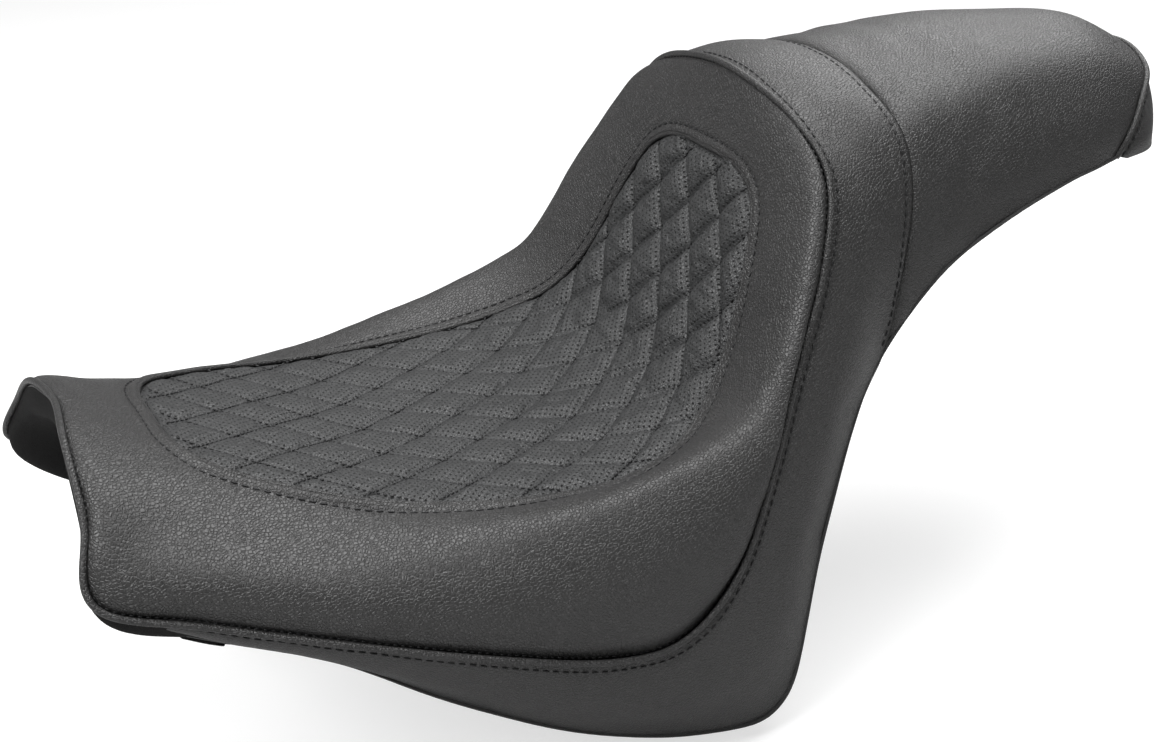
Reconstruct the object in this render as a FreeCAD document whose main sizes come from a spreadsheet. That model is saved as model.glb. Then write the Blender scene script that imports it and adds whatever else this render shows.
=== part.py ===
"""Two-up motorcycle seat: moulded pan, foam, gel, vinyl covers, piping and mounting hardware.

Shape points are measured in mm from the riding datum, a point over the middle of the dish.
X is the rider's left, Y runs back towards the tail and Z is up. Each outline lists one half,
and the seat is symmetric about X = 0. Every sub-part's Placement then moves it so that the
origin is the centre of the rear mounting bolt's hole.
"""
import FreeCAD, Part
import math
import os
import Sketcher
from FreeCAD import Vector, Placement, Rotation

doc = FreeCAD.newDocument("motorcycle_seat")

# ---------------------------------------------------------------- driving dimensions
SIZES = (
    ("bolt_back", 405.0), ("bolt_up", 121.0),
    ("cover_thick", 1.6), ("inlay_thick", 5.0), ("gel_thick", 10.0),
    ("pan_thick", 3.5), ("liner_thick", 2.5), ("layer_gap", 0.4),
    ("welt_width", 5.0), ("inlay_welt_width", 4.6), ("welt_play", 0.1),
    ("trim_width", 7.0), ("trim_thick", 2.2), ("trim_overhang", 1.5), ("trim_drop", 2.0),
    ("padding_inset", 8.0), ("foam_side_inset", 10.0), ("foam_flank_drop", 7.0),
    ("tongue_long", 190.0), ("tongue_wide", 46.0), ("tongue_thick", 4.0),
    ("tongue_tip_back", -240.0), ("tongue_hole_radius", 5.25), ("tongue_hole_inset", 18.0),
    ("tab_wide", 40.0), ("tab_thick", 3.0), ("tab_flange_long", 42.0),
    ("tab_step_long", 14.0), ("tab_foot_long", 42.0),
    ("tab_hole_radius", 4.25),
    ("rivet_radius", 2.4), ("rivet_head_radius", 5.5), ("rivet_head_high", 1.8),
    ("rivet_pitch", 24.0),
    ("bumper_radius", 13.0), ("bumper_foot_radius", 11.0), ("bumper_high", 12.0),
    ("bumper_hole_radius", 3.2),
    ("screw_radius", 2.5), ("screw_head_radius", 5.0), ("screw_head_high", 3.0),
    ("screw_long", 15.0),
    ("screw_recess", 5.0), ("slot_wide", 1.2), ("slot_long", 7.0),
    ("staple_long", 11.0), ("staple_wide", 1.2), ("staple_thick", 0.7), ("staple_rise", 8.0),
)
sheet = doc.addObject("Spreadsheet::Sheet", "Sizes")
for row_number, (alias, value) in enumerate(SIZES, 1):
    sheet.set("A%d" % row_number, alias)
    sheet.set("B%d" % row_number, str(value))
    sheet.setAlias("B%d" % row_number, alias)
doc.recompute()


def size(alias):
    """A driving dimension, read from the sheet."""
    return float(sheet.get(alias))


TO_BOLT = Vector(0, -size("bolt_back"), -size("bolt_up"))

# ---------------------------------------------------------------- outlines of the soft parts
# Rings round the rider's seat, from the nose's centre line round the left side to the
# centre line at the top of the step. The same place in each list is one rib of the seat.
INLAY_EDGE = [
    (0, -287, 31), (36, -286, 31), (62, -274, 26), (78, -254, 19), (95, -222, 10),
    (110, -180, -1), (122, -125, -9), (129, -72, -12), (130, -30, -10), (122, 8, 0),
    (108, 34, 17), (96, 56, 47), (84, 74, 90), (68, 88, 126), (45, 93, 140),
    (20, 94, 143), (0, 94, 143)]
CREST = [
    (0, -312, 42), (41, -314, 40), (74, -308, 28), (96, -294, 12), (118, -256, -2),
    (135, -196, -9), (151, -130, -10), (163, -71, -4), (166, -26, 5), (164, 13, 18),
    (157, 38, 33), (143, 58, 66), (125, 77, 106), (100, 92, 143), (66, 97, 167),
    (32, 99, 173), (0, 99, 174)]
FLANK = [
    (0, -330, 51), (44, -334, 48), (86, -336, 28), (111, -334, 0), (134, -284, -14),
    (157, -216, -26), (174, -140, -38), (183, -75, -44), (186, -24, -38), (183, 16, -14),
    (174, 42, 18), (160, 63, 66), (141, 85, 117), (118, 100, 156), (86, 103, 177),
    (44, 102, 190), (0, 101, 193)]
PIPING_LINE = [
    (0, -341, 54), (44, -346, 49), (88, -348, 19), (114, -354, -20), (132, -298, -38),
    (160, -226, -55), (180, -143, -78), (186, -72, -98), (185, -22, -98), (182, 17, -62),
    (174, 43, 0), (160, 66, 55), (144, 91, 106), (119, 109, 154), (86, 107, 180),
    (46, 104, 193), (0, 102, 199)]
# Lower edge of the nose, then of the skirts, then the seam in front of the passenger's cover.
BAND_EDGE = [
    (0, -333, 41), (43, -337, 36), (82, -340, 9), (109, -347, -32), (112, -290, -60),
    (125, -222, -88), (141, -155, -128), (157, -75, -166), (166, 10, -188), (167, 65, -178),
    (160, 90, -80), (145, 121, 0), (124, 157, 34), (123, 169, 90), (117, 175, 142),
    (90, 174, 181), (0, 176, 200)]
BAND_BULGE = [0, 0, 0, 1, 3, 5, 7, 8, 8, 8, 8, 8, 8, 7, 5, 4, 3]
NOSE_RIB = 3
SKIRT_END_RIB = 12

# The passenger's cover: ribs from its front seam to the tail seam, lower edge to centre line.
PILLION_RIBS = [
    [(124, 157, 34), (123, 169, 90), (117, 175, 142), (90, 174, 181), (0, 176, 200)],
    [(116, 205, 76), (116, 212, 112), (106, 220, 154), (78, 226, 188), (0, 228, 203)],
    [(110, 258, 100), (109, 264, 130), (97, 270, 166), (70, 276, 194), (0, 280, 205)],
    [(102, 314, 115), (100, 322, 139), (88, 330, 168), (62, 336, 192), (0, 342, 204)],
    [(97, 342, 119), (94, 354, 141), (82, 366, 165), (56, 380, 185), (0, 392, 198)],
    [(90, 366, 121), (86, 382, 139), (74, 398, 154), (48, 424, 167), (0, 440, 174)]]
TAIL_RIBS = [
    PILLION_RIBS[-1],
    [(88, 374, 119), (86, 395, 128), (70, 415, 137), (42, 436, 146), (0, 449, 150)],
    [(86, 380, 117), (80, 406, 118), (64, 422, 120), (38, 440, 121), (0, 448, 121)]]

# The pan's upper side: ribs from nose to tail, lower edge to centre line.
PAN_RIBS = [
    [(104, -340, -28), (100, -340, -14), (78, -339, 10), (42, -336, 31), (0, -332, 36)],
    [(107, -290, -57), (119, -290, -44), (104, -288, -20), (52, -285, 6), (0, -283, 11)],
    [(120, -222, -85), (136, -222, -72), (135, -222, -56), (68, -220, -30), (0, -218, -26)],
    [(136, -155, -124), (154, -152, -102), (157, -148, -80), (80, -146, -54), (0, -145, -50)],
    [(152, -80, -162), (168, -80, -130), (167, -80, -98), (84, -84, -68), (0, -86, -64)],
    [(161, -10, -184), (172, -20, -142), (167, -28, -98), (84, -32, -68), (0, -34, -64)],
    [(162, 40, -184), (170, 20, -130), (163, 8, -76), (84, 6, -54), (0, 5, -51)],
    [(161, 64, -172), (166, 50, -100), (157, 36, -34), (82, 34, -22), (0, 33, -20)],
    [(154, 89, -78), (158, 72, -36), (147, 62, 6), (78, 62, 18), (0, 62, 22)],
    [(139, 119, 0), (141, 106, 16), (131, 98, 36), (70, 98, 56), (0, 98, 62)],
    [(119, 156, 36), (119, 153, 48), (111, 148, 60), (62, 146, 86), (0, 146, 94)],
    [(111, 206, 77), (110, 207, 86), (101, 208, 96), (56, 210, 116), (0, 210, 122)],
    [(105, 259, 100), (103, 260, 107), (93, 261, 115), (52, 262, 130), (0, 262, 134)],
    [(97, 314, 115), (95, 315, 120), (85, 316, 127), (48, 318, 138), (0, 318, 141)],
    [(85, 366, 121), (82, 368, 125), (73, 371, 131), (42, 376, 140), (0, 378, 143)],
    [(75, 402, 120), (72, 404, 123), (64, 408, 128), (38, 420, 136), (0, 428, 138)]]

# The passenger foam's upper side, front to tail, lower edge to centre line.
PILLION_FOAM_RIBS = [
    [(130, 104, 50), (132, 106, 92), (112, 110, 148), (82, 110, 174), (0, 108, 193)],
    [(114, 156, 66), (118, 166, 95), (112, 170, 138), (86, 170, 176), (0, 172, 196)],
    [(104, 208, 100), (111, 213, 118), (101, 220, 151), (75, 226, 184), (0, 228, 199)],
    [(97, 261, 119), (104, 265, 134), (92, 270, 163), (67, 276, 190), (0, 280, 201)],
    [(88, 316, 131), (95, 322, 142), (84, 330, 164), (60, 336, 188), (0, 342, 200)],
    [(75, 370, 135), (80, 376, 143), (72, 388, 158), (48, 408, 170), (0, 420, 178)]]


# ---------------------------------------------------------------- surface helpers
def vectors(points):
    return [Vector(*p) for p in points]


def mirrored(point):
    return Vector(-point.x, point.y, point.z)


def across(half):
    """A full rib from a half one: left edge to the centre line and on to the right edge."""
    return half + [mirrored(p) for p in half[-2::-1]]


def round_the_seat(half):
    """A closed ring from a half one, starting and ending at the nose's centre line."""
    return half + [mirrored(p) for p in half[-2::-1]]


def refined(line, closed=False, steps=3):
    """The line with more points, on a smooth curve through the ones it has."""
    last = len(line) - 1

    def point(i):
        if closed:
            return line[i % last]
        if i < 0:
            return line[0] * 2 - line[1]
        if i > last:
            return line[last] * 2 - line[last - 1]
        return line[i]

    result = []
    for i in range(last):
        a, b, c, d = point(i - 1), point(i), point(i + 1), point(i + 2)
        for step in range(steps):
            share = step / steps
            result.append((b * 2 + (c - a) * share + (a * 2 - b * 5 + c * 4 - d) * share ** 2
                           + (b * 3 - a - c * 3 + d) * share ** 3) * 0.5)
    return result + [line[last]]


def normals(grid, closed=False):
    """Unit normals of a grid of points, on its outer side."""
    last_rib, last_point = len(grid) - 1, len(grid[0]) - 1
    result = []
    for i, rib in enumerate(grid):
        line = []
        for j, _ in enumerate(rib):
            along = grid[min(i + 1, last_rib)][j] - grid[max(i - 1, 0)][j]
            if closed and j in (0, last_point):
                side = rib[1] - rib[last_point - 1]
            else:
                side = rib[min(j + 1, last_point)] - rib[max(j - 1, 0)]
            normal = along.cross(side)
            normal.normalize()
            line.append(normal)
        result.append(line)
    return result


def moved_out(grid, distance, closed=False):
    """The grid moved by a distance along its outer normals."""
    return [[p + n * distance for p, n in zip(rib, line)]
            for rib, line in zip(grid, normals(grid, closed))]


def smooth_face(grid):
    surface = Part.BSplineSurface()
    surface.interpolate(grid)
    return surface


def border(surface):
    """The surface's four edges as curves: first rib, last rib, first points, last points."""
    u_low, u_high, v_low, v_high = surface.bounds()
    return [surface.uIso(u_low), surface.uIso(u_high), surface.vIso(v_low), surface.vIso(v_high)]


def solid_from(faces):
    """The solid inside a closed set of faces."""
    shell = Part.makeShell(faces)
    shell.sewShape()
    solid = Part.makeSolid(shell if shell.ShapeType == "Shell" else shell.Shells[0])
    if solid.Volume < 0:
        solid.reverse()
    return solid


def solid_between(outer_grid, inner_grid, closed=False):
    """The closed solid between two grids, with straight walls round their edges."""
    outer, inner = smooth_face(outer_grid), smooth_face(inner_grid)
    faces = [outer.toShape(), inner.toShape()]
    pairs = list(zip(border(outer), border(inner)))
    for first, second in (pairs[:2] if closed else pairs):
        faces.append(Part.makeRuledSurface(first.toShape(), second.toShape()))
    return solid_from(faces)


def skin(grid, thickness, closed=False):
    """A sheet of a given thickness whose outer side follows the grid."""
    grid = [refined(line, closed) for line in grid]
    return solid_between(grid, moved_out(grid, -thickness, closed), closed)


def more_ribs(ribs):
    """The ribs with others between them, on smooth curves along the seat."""
    lines = [refined(list(line)) for line in zip(*ribs)]
    return [list(rib) for rib in zip(*lines)]


def lofted(top_ribs, bottom_ribs):
    """A cushion lofted through closed sections, each from an upper and a lower rib."""
    sections, ends = [], []
    for top, bottom in zip(more_ribs(top_ribs), more_ribs(bottom_ribs)):
        upper, lower = Part.BSplineCurve(), Part.BSplineCurve()
        upper.interpolate(top)
        lower.interpolate(bottom)
        curves = [upper.toShape(), lower.toShape()]
        sections.append(Part.Wire([curves[0], Part.makeLine(top[-1], bottom[-1]), curves[1],
                                   Part.makeLine(bottom[0], top[0])]))
        ends.append(Part.makeRuledSurface(*curves))
    return solid_from(Part.makeLoft(sections).Faces + [ends[0], ends[-1]])


def blend_point(first, second, share):
    return first + (second - first) * share


def stepped(first, second, distance):
    """The point a given distance from the first point towards the second."""
    step = second - first
    step.normalize()
    return first + step * distance


def add_shape(name, shape):
    """A sub-part whose shape is set here, placed so that the bolt hole is the origin."""
    feature = doc.addObject("Part::Feature", name)
    feature.Shape = shape
    feature.Placement = Placement(TO_BOLT, Rotation())
    feature.Label = name
    return feature


# ---------------------------------------------------------------- rings shared by the covers
RINGS = [vectors(ring) for ring in (INLAY_EDGE, CREST, FLANK, PIPING_LINE, BAND_EDGE)]
inlay_edge, crest, flank, piping_line, band_edge = RINGS
HALF_WELT = size("welt_width") / 2
HALF_INLAY_WELT = size("inlay_welt_width") / 2


def band_middle(ribs):
    """Points half-way across the band, bulged outwards."""
    result = []
    for k in ribs:
        before, after = max(k - 1, 0), min(k + 1, len(piping_line) - 1)
        along = piping_line[after] - piping_line[before] + band_edge[after] - band_edge[before]
        outward = (band_edge[k] - piping_line[k]).cross(along)
        if k in (0, len(piping_line) - 1):
            outward.x = 0
        outward.normalize()
        middle = blend_point(piping_line[k], band_edge[k], 0.5)
        result.append(middle + outward * BAND_BULGE[k])
    return result


def centre_height(back):
    """Height of the dish and backrest on the centre line, at a place along the seat."""
    profile = [(-287, 31), (-269, 23), (-214, 7), (-155, -9), (-91, -14), (-24, -13),
               (32, 13), (62, 59), (83, 107), (94, 143)]
    for (y_low, z_low), (y_high, z_high) in zip(profile, profile[1:]):
        if back <= y_high:
            return z_low + (z_high - z_low) * (back - y_low) / (y_high - y_low)
    return profile[-1][1]


def inlay_grid(ribs, lift, shrink):
    """Ribs across the quilted area, lifted along Z and drawn in from its edge."""
    grid = []
    for k in ribs:
        edge = inlay_edge[k]
        half_wide = edge.x - shrink
        low = centre_height(edge.y)
        shares = ((1, edge.z), (0.5, (edge.z + 3 * low) / 4), (0, low))
        grid.append(across([Vector(half_wide * share, edge.y, height)
                            for share, height in shares]))
    return moved_out(grid, lift)


# ---------------------------------------------------------------- covers, welts and trim
def make_rider_cover():
    """The vinyl ring between the quilted area and the main piping."""
    inner = [stepped(a, b, HALF_INLAY_WELT) for a, b in zip(inlay_edge, crest)]
    outer = [stepped(a, b, HALF_WELT) for a, b in zip(piping_line, flank)]
    grid = [round_the_seat(ring) for ring in (inner, crest, flank, outer)]
    add_shape("rider_cover", skin(grid, size("cover_thick"), closed=True))


def make_side_band():
    """The plain band: over the step's top and down into both skirts, nose to nose."""
    ribs = range(NOSE_RIB, len(piping_line))
    first = [stepped(piping_line[k], band_edge[k], HALF_WELT) for k in ribs]
    middle = band_middle(ribs)
    last = [band_edge[k] for k in ribs]
    grid = [across(line) for line in (first, middle, last)]
    add_shape("side_band", skin(grid, size("cover_thick")))


def make_nose_fascia():
    """The dark strip under the nose, between the piping and the pan's front edge."""
    ribs = range(NOSE_RIB, -1, -1)
    first = [stepped(piping_line[k], band_edge[k], HALF_WELT) for k in ribs]
    last = [band_edge[k] for k in ribs]
    add_shape("nose_fascia", skin([across(first), across(last)], -size("cover_thick")))


def make_pillion_cover():
    grid = [across(vectors(rib)) for rib in PILLION_RIBS]
    grid[0] = [stepped(a, b, size("layer_gap")) for a, b in zip(grid[0], grid[1])]
    grid[-1] = [stepped(a, b, HALF_WELT) for a, b in zip(grid[-1], grid[-2])]
    add_shape("pillion_cover", skin(grid, size("cover_thick")))


def make_tail_cap():
    """The end panel of the cover, behind the tail seam."""
    grid = [across(vectors(rib)) for rib in TAIL_RIBS]
    grid[0] = [stepped(a, b, HALF_WELT) for a, b in zip(grid[0], grid[1])]
    add_shape("tail_cap", skin(grid, size("cover_thick")))


WELT_POINTS = 5
WELT_FLAT = 12.0


def welt(name, before, line, after, radius, closed):
    """A round welt along a seam line, with a narrow flat against the cover on each side."""
    before, line, after = [refined(ring, closed) for ring in (before, line, after)]
    last = len(line) - 1
    upper, lower = [], []
    for step in range(WELT_POINTS):
        share = step / (WELT_POINTS - 1)
        angle = math.radians(WELT_FLAT + (180 - 2 * WELT_FLAT) * share)
        upper.append([])
        lower.append([])
        for j, centre in enumerate(line):
            if closed and j in (0, last):
                along = line[1] - line[last - 1]
            else:
                along = line[min(j + 1, last)] - line[max(j - 1, 0)]
            along.normalize()
            sideways = after[j] - before[j]
            sideways = sideways - along * sideways.dot(along)
            sideways.normalize()
            outward = sideways.cross(along)
            aside = sideways * (math.cos(angle) * radius)
            rise = outward * (math.sin(angle) * radius)
            upper[-1].append(centre + aside + rise)
            lower[-1].append(centre + aside - rise)
    add_shape(name, solid_between(upper, lower, closed))


def make_welts():
    main = [round_the_seat(ring) for ring in (flank, piping_line, band_edge)]
    welt("main_piping", *main, HALF_WELT - size("welt_play"), True)
    within = [Vector(p.x * 0.8, p.y, p.z) for p in inlay_edge]
    within[0] = inlay_edge[0] + Vector(0, 20, -7)
    within[-1] = inlay_edge[-1] - Vector(0, 8, 22)
    inner = [round_the_seat(ring) for ring in (within, inlay_edge, crest)]
    welt("inlay_welt", *inner, HALF_INLAY_WELT - size("welt_play"), True)
    tail = [across(vectors(rib)) for rib in (PILLION_RIBS[-2], PILLION_RIBS[-1], TAIL_RIBS[1])]
    welt("tail_piping", *tail, HALF_WELT - size("welt_play"), False)


def make_quilted_inlay():
    grid = inlay_grid(range(1, len(inlay_edge) - 1), 0, HALF_INLAY_WELT)
    add_shape("quilted_inlay", skin(grid, size("inlay_thick")))


def make_edge_trims():
    """Rubber trim along each lower edge, nose corner to tail seam."""
    edge = band_edge[NOSE_RIB:SKIRT_END_RIB] + [Vector(*rib[0]) for rib in PILLION_RIBS]
    profile = ((-size("trim_overhang"), 0), (1.0, -size("trim_drop")), (size("trim_width"), 0))
    for name, side in (("left_edge_trim", 1), ("right_edge_trim", -1)):
        lines = []
        for inset, drop in profile:
            lines.append([Vector(side * (p.x - inset), p.y, p.z + drop) for p in edge])
        add_shape(name, skin(lines, side * size("trim_thick")))


# ---------------------------------------------------------------- padding
def make_padding():
    """Gel under the dish and soft foam behind the backrest, both under the inlay."""
    depth = size("inlay_thick") + size("layer_gap")
    gel_ribs = range(4, 10)
    back_ribs = range(10, 15)
    for name, ribs in (("gel_insert", gel_ribs), ("backrest_pad", back_ribs)):
        top = inlay_grid(ribs, -depth, size("padding_inset"))
        add_shape(name, skin(top, size("gel_thick")))


def pan_ribs():
    return [across(vectors(rib)) for rib in PAN_RIBS]


FOAM_FIRST_RIB, FOAM_LAST_RIB = 4, 13
STEP_RIB = 10


def make_rider_foam():
    """The rider's foam, between the covers and padding above and the pan below."""
    under_cover = size("cover_thick") + size("gel_thick") / 2
    under_padding = size("inlay_thick") + size("gel_thick") + 3 * size("layer_gap")
    top, bottom = [], []
    lowest = Vector(0, 0, size("layer_gap"))
    side_inset = size("foam_side_inset")
    for k in range(FOAM_FIRST_RIB, FOAM_LAST_RIB + 1):
        edge = inlay_edge[k]
        low = centre_height(edge.y)
        down = Vector(0, 0.9 if k >= STEP_RIB else 0.2, -1)
        down.normalize()
        half = [piping_line[k] - Vector(side_inset, 0, 0),
                flank[k] - Vector(side_inset + 1, 0, size("foam_flank_drop")),
                crest[k] + down * under_cover, edge + down * under_padding,
                Vector(edge.x / 2, edge.y, (edge.z + 3 * low) / 4) + down * under_padding,
                Vector(0, edge.y, low) + down * under_padding]
        top.append(across(half))
        rib = vectors(PAN_RIBS[min(k - FOAM_FIRST_RIB + 1, STEP_RIB - 1)])
        if k == FOAM_LAST_RIB:
            rib = [p + Vector(0, 6, 5) for p in rib]
        bottom.append(across([p + lowest for p in rib[2:]]))
    add_shape("rider_foam", lofted(top, bottom))


def make_pillion_foam():
    top = [across(vectors(rib)) for rib in PILLION_FOAM_RIBS]
    lowest = Vector(0, 0, size("layer_gap"))
    bottom = [across([p + lowest for p in vectors(rib)[2:]]) for rib in PAN_RIBS[9:15]]
    add_shape("pillion_foam", lofted(top, bottom))


# ---------------------------------------------------------------- pan, liner and hardware
def upright(radius, low, high, x, y):
    return Part.makeCylinder(radius, high - low, Vector(x, y, low))


def under_side(shape, x, y):
    """Height of a shape's lower side at a place."""
    line = Part.makeLine(Vector(x, y, -250), Vector(x, y, 250))
    cut = line.common(shape)
    return min(v.Z for v in cut.Vertexes)


BUMPER_PLACES = [(sign * x, y) for x, y in ((70, -165), (84, 20), (52, 235)) for sign in (1, -1)]
TONGUE_RIVET_BACKS = (-82.0, -82.0 + size("rivet_pitch"))
TAB_RIVET_SIDES = (-size("rivet_pitch") / 2, size("rivet_pitch") / 2)
TAB_RIVET_BACK = 346.0


def make_pan():
    """The moulded pan, drilled for the rivets and the bumper screws."""
    body = skin(pan_ribs(), size("pan_thick"))
    drills = [upright(size("rivet_radius"), -90, -50, 0, y) for y in TONGUE_RIVET_BACKS]
    drills += [upright(size("rivet_radius"), 120, 160, x, TAB_RIVET_BACK)
               for x in TAB_RIVET_SIDES]
    drills += [upright(size("screw_radius"), -200, 200, x, y) for x, y in BUMPER_PLACES]
    drilled = body.cut(Part.makeCompound(drills))
    add_shape("seat_pan", drilled.Solids[0])
    return body


def make_liner():
    """Felt under the middle of the pan, with holes for the bumpers and brackets."""
    ribs = [across(rib[2:5]) for rib in (vectors(r) for r in PAN_RIBS[2:14])]
    clear = size("pan_thick") + size("layer_gap")
    narrowed = [[Vector(p.x * 0.86, p.y, p.z) for p in rib] for rib in ribs]
    felt = skin(moved_out(narrowed, -clear), size("liner_thick"))
    gaps = [upright(size("bumper_radius") + 1, -200, 200, x, y) for x, y in BUMPER_PLACES]
    gaps.append(Part.makeBox(size("tongue_wide") + 4, size("tongue_long") + 4, 40,
                             Vector(-size("tongue_wide") / 2 - 2, -242, -90)))
    gaps.append(Part.makeBox(size("tab_wide") + 4, 60, 40, Vector(-size("tab_wide") / 2 - 2,
                                                                 316, 120)))
    cut = felt.cut(Part.makeCompound(gaps))
    add_shape("underside_liner", max(cut.Solids, key=lambda s: s.Volume))


def bound(obj, **bindings):
    for prop, expression in bindings.items():
        obj.setExpression(prop, expression)
    return obj


def sheet_box(name, x, y, z, length, width, height):
    box = doc.addObject("Part::Box", name)
    bound(box, Length=length, Width=width, Height=height)
    box.Placement = Placement(Vector(x, y, z) + TO_BOLT, Rotation())
    return box


def sheet_cylinder(name, x, y, z, radius, height):
    cylinder = doc.addObject("Part::Cylinder", name)
    bound(cylinder, Radius=radius, Height=height)
    cylinder.Placement = Placement(Vector(x, y, z) + TO_BOLT, Rotation())
    return cylinder


def cut_from(name, base, tools):
    """The base less its tools, as a sub-part of its own."""
    removed = doc.addObject("Part::MultiFuse", name + "_holes")
    removed.Shapes = tools
    result = doc.addObject("Part::Cut", name)
    result.Base = base
    result.Tool = removed
    result.Label = name
    return result


def make_front_tongue(pan_under):
    """The flat steel tongue that hooks into the frame under the fuel tank."""
    thick = size("tongue_thick")
    low = pan_under - thick
    tip = size("tongue_tip_back")
    plate = sheet_box("tongue_plate", -size("tongue_wide") / 2, tip, low,
                      "Sizes.tongue_wide", "Sizes.tongue_long", "Sizes.tongue_thick")
    hook = sheet_cylinder("tongue_hole", 0, tip + size("tongue_hole_inset"), low,
                          "Sizes.tongue_hole_radius", "Sizes.tongue_thick")
    holes = [sheet_cylinder("tongue_rivet_hole_%d" % i, 0, y, low,
                            "Sizes.rivet_radius", "Sizes.tongue_thick")
             for i, y in enumerate(TONGUE_RIVET_BACKS)]
    rounded = doc.addObject("Part::Fillet", "tongue_rounded")
    rounded.Base = plate
    doc.recompute()
    corners = [(i, 12.0, 12.0) for i, edge in enumerate(plate.Shape.Edges, 1)
               if abs(edge.Vertexes[0].Z - edge.Vertexes[1].Z) > thick / 2
               and edge.Vertexes[0].Y < tip + TO_BOLT.y + 1]
    rounded.Edges = corners
    return cut_from("front_tongue", rounded, [hook] + holes)


def make_rear_tab(pan_under):
    """The stepped steel tab that the rear bolt goes through."""
    body = doc.addObject("PartDesign::Body", "rear_mount_tab")
    body.Label = "rear_mount_tab"
    side_plane = [f for f in body.Origin.OriginFeatures if f.Role == "YZ_Plane"][0]
    profile = body.newObject("Sketcher::SketchObject", "tab_profile")
    profile.AttachmentSupport = [(side_plane, "")]
    profile.MapMode = "FlatFace"
    thick = size("tab_thick")
    foot_end = size("tab_foot_long") / 2
    step_end = -size("tab_foot_long") / 2
    step_start = step_end - size("tab_step_long")
    flange_end = step_start - size("tab_flange_long")
    low = -thick / 2
    high = pan_under + TO_BOLT.z - thick
    outline = [(foot_end, low), (foot_end, low + thick), (step_end + 1, low + thick),
               (step_start + 1, high + thick), (flange_end, high + thick), (flange_end, high),
               (step_start - 1, high), (step_end - 1, low)]
    for (y1, z1), (y2, z2) in zip(outline, outline[1:] + outline[:1]):
        profile.addGeometry(Part.LineSegment(Vector(y1, z1, 0), Vector(y2, z2, 0)))
    pad = body.newObject("PartDesign::Pad", "tab_pad")
    pad.Profile = profile
    pad.setExpression("Length", "Sizes.tab_wide")
    pad.Midplane = True
    doc.recompute()
    top_plane = [f for f in body.Origin.OriginFeatures if f.Role == "XY_Plane"][0]
    holes = body.newObject("Sketcher::SketchObject", "tab_holes")
    holes.AttachmentSupport = [(top_plane, "")]
    holes.MapMode = "FlatFace"
    circle = holes.addGeometry(Part.Circle(Vector(0, 0, 0), Vector(0, 0, 1),
                                           size("tab_hole_radius")))
    holes.addConstraint(Sketcher.Constraint("Radius", circle, size("tab_hole_radius")))
    holes.setExpression("Constraints[0]", "Sizes.tab_hole_radius")
    for x in TAB_RIVET_SIDES:
        holes.addGeometry(Part.Circle(Vector(x, TAB_RIVET_BACK + TO_BOLT.y, 0),
                                      Vector(0, 0, 1), size("rivet_radius")))
    pocket = body.newObject("PartDesign::Pocket", "tab_pocket")
    pocket.Profile = holes
    pocket.Type = 1
    pocket.Midplane = True
    before = pad.Shape.Volume
    doc.recompute()
    if body.Shape.Volume >= before:
        raise RuntimeError("the rear tab's holes cut nothing")


SHANK_SHARE = 0.98
RIVET_TAIL = 0.9


def rivet(x, y, low, high):
    """A tubular rivet: shank through both sheets and a low dome under the steel."""
    shank = upright(size("rivet_radius") * SHANK_SHARE, low, high, x, y)
    head_radius, head_high = size("rivet_head_radius"), size("rivet_head_high")
    lower = Part.makeCone(head_radius * 0.6, head_radius, head_high, Vector(x, y, low - head_high))
    upper = Part.makeCylinder(head_radius * 0.85, RIVET_TAIL, Vector(x, y, high))
    return shank.fuse([lower, upper]).removeSplitter()


def make_rivets(tongue_under, tab_under, pan_body):
    rivets = []
    for y in TONGUE_RIVET_BACKS:
        low = tongue_under - size("tongue_thick")
        rivets.append(rivet(0, y, low, tongue_under + size("pan_thick") + 0.8))
    add_shape("tongue_rivets", Part.makeCompound(rivets))
    rivets = []
    for x in TAB_RIVET_SIDES:
        under = under_side(pan_body, x, TAB_RIVET_BACK)
        low = tab_under - size("tab_thick")
        rivets.append(rivet(x, TAB_RIVET_BACK, low, under + size("pan_thick") + 0.6))
    add_shape("rear_tab_rivets", Part.makeCompound(rivets))


def make_bumpers(pan_body):
    """Rubber feet that carry the seat on the frame, each held by a screw from below."""
    bumpers, screws = [], []
    for x, y in BUMPER_PLACES:
        top = min(under_side(pan_body, x + dx, y + dy) for dx in (-9, 0, 9) for dy in (-9, 0, 9))
        foot = top - size("bumper_high")
        cone = Part.makeCone(size("bumper_foot_radius"), size("bumper_radius"),
                             size("bumper_high"), Vector(x, y, foot))
        seat = foot + size("screw_recess")
        recess = upright(size("screw_head_radius") + 1, foot, seat, x, y)
        hole = upright(size("bumper_hole_radius"), foot, top, x, y)
        bumpers.append(cone.cut(recess.fuse(hole)))
        face = seat - size("screw_head_high")
        head = upright(size("screw_head_radius"), face, seat, x, y)
        slot_wide, slot_long = size("slot_wide"), size("slot_long")
        slot = Part.makeBox(slot_wide, slot_long, slot_wide,
                            Vector(x - slot_wide / 2, y - slot_long / 2, face))
        shank = upright(size("screw_radius") * SHANK_SHARE, seat, seat + size("screw_long"),
                        x, y)
        screws.append(head.cut(slot).fuse(shank).removeSplitter())
    add_shape("rubber_bumpers", Part.makeCompound(bumpers))
    add_shape("bumper_screws", Part.makeCompound(screws))


STAPLE_SHARES = (0.25, 0.75)


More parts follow.
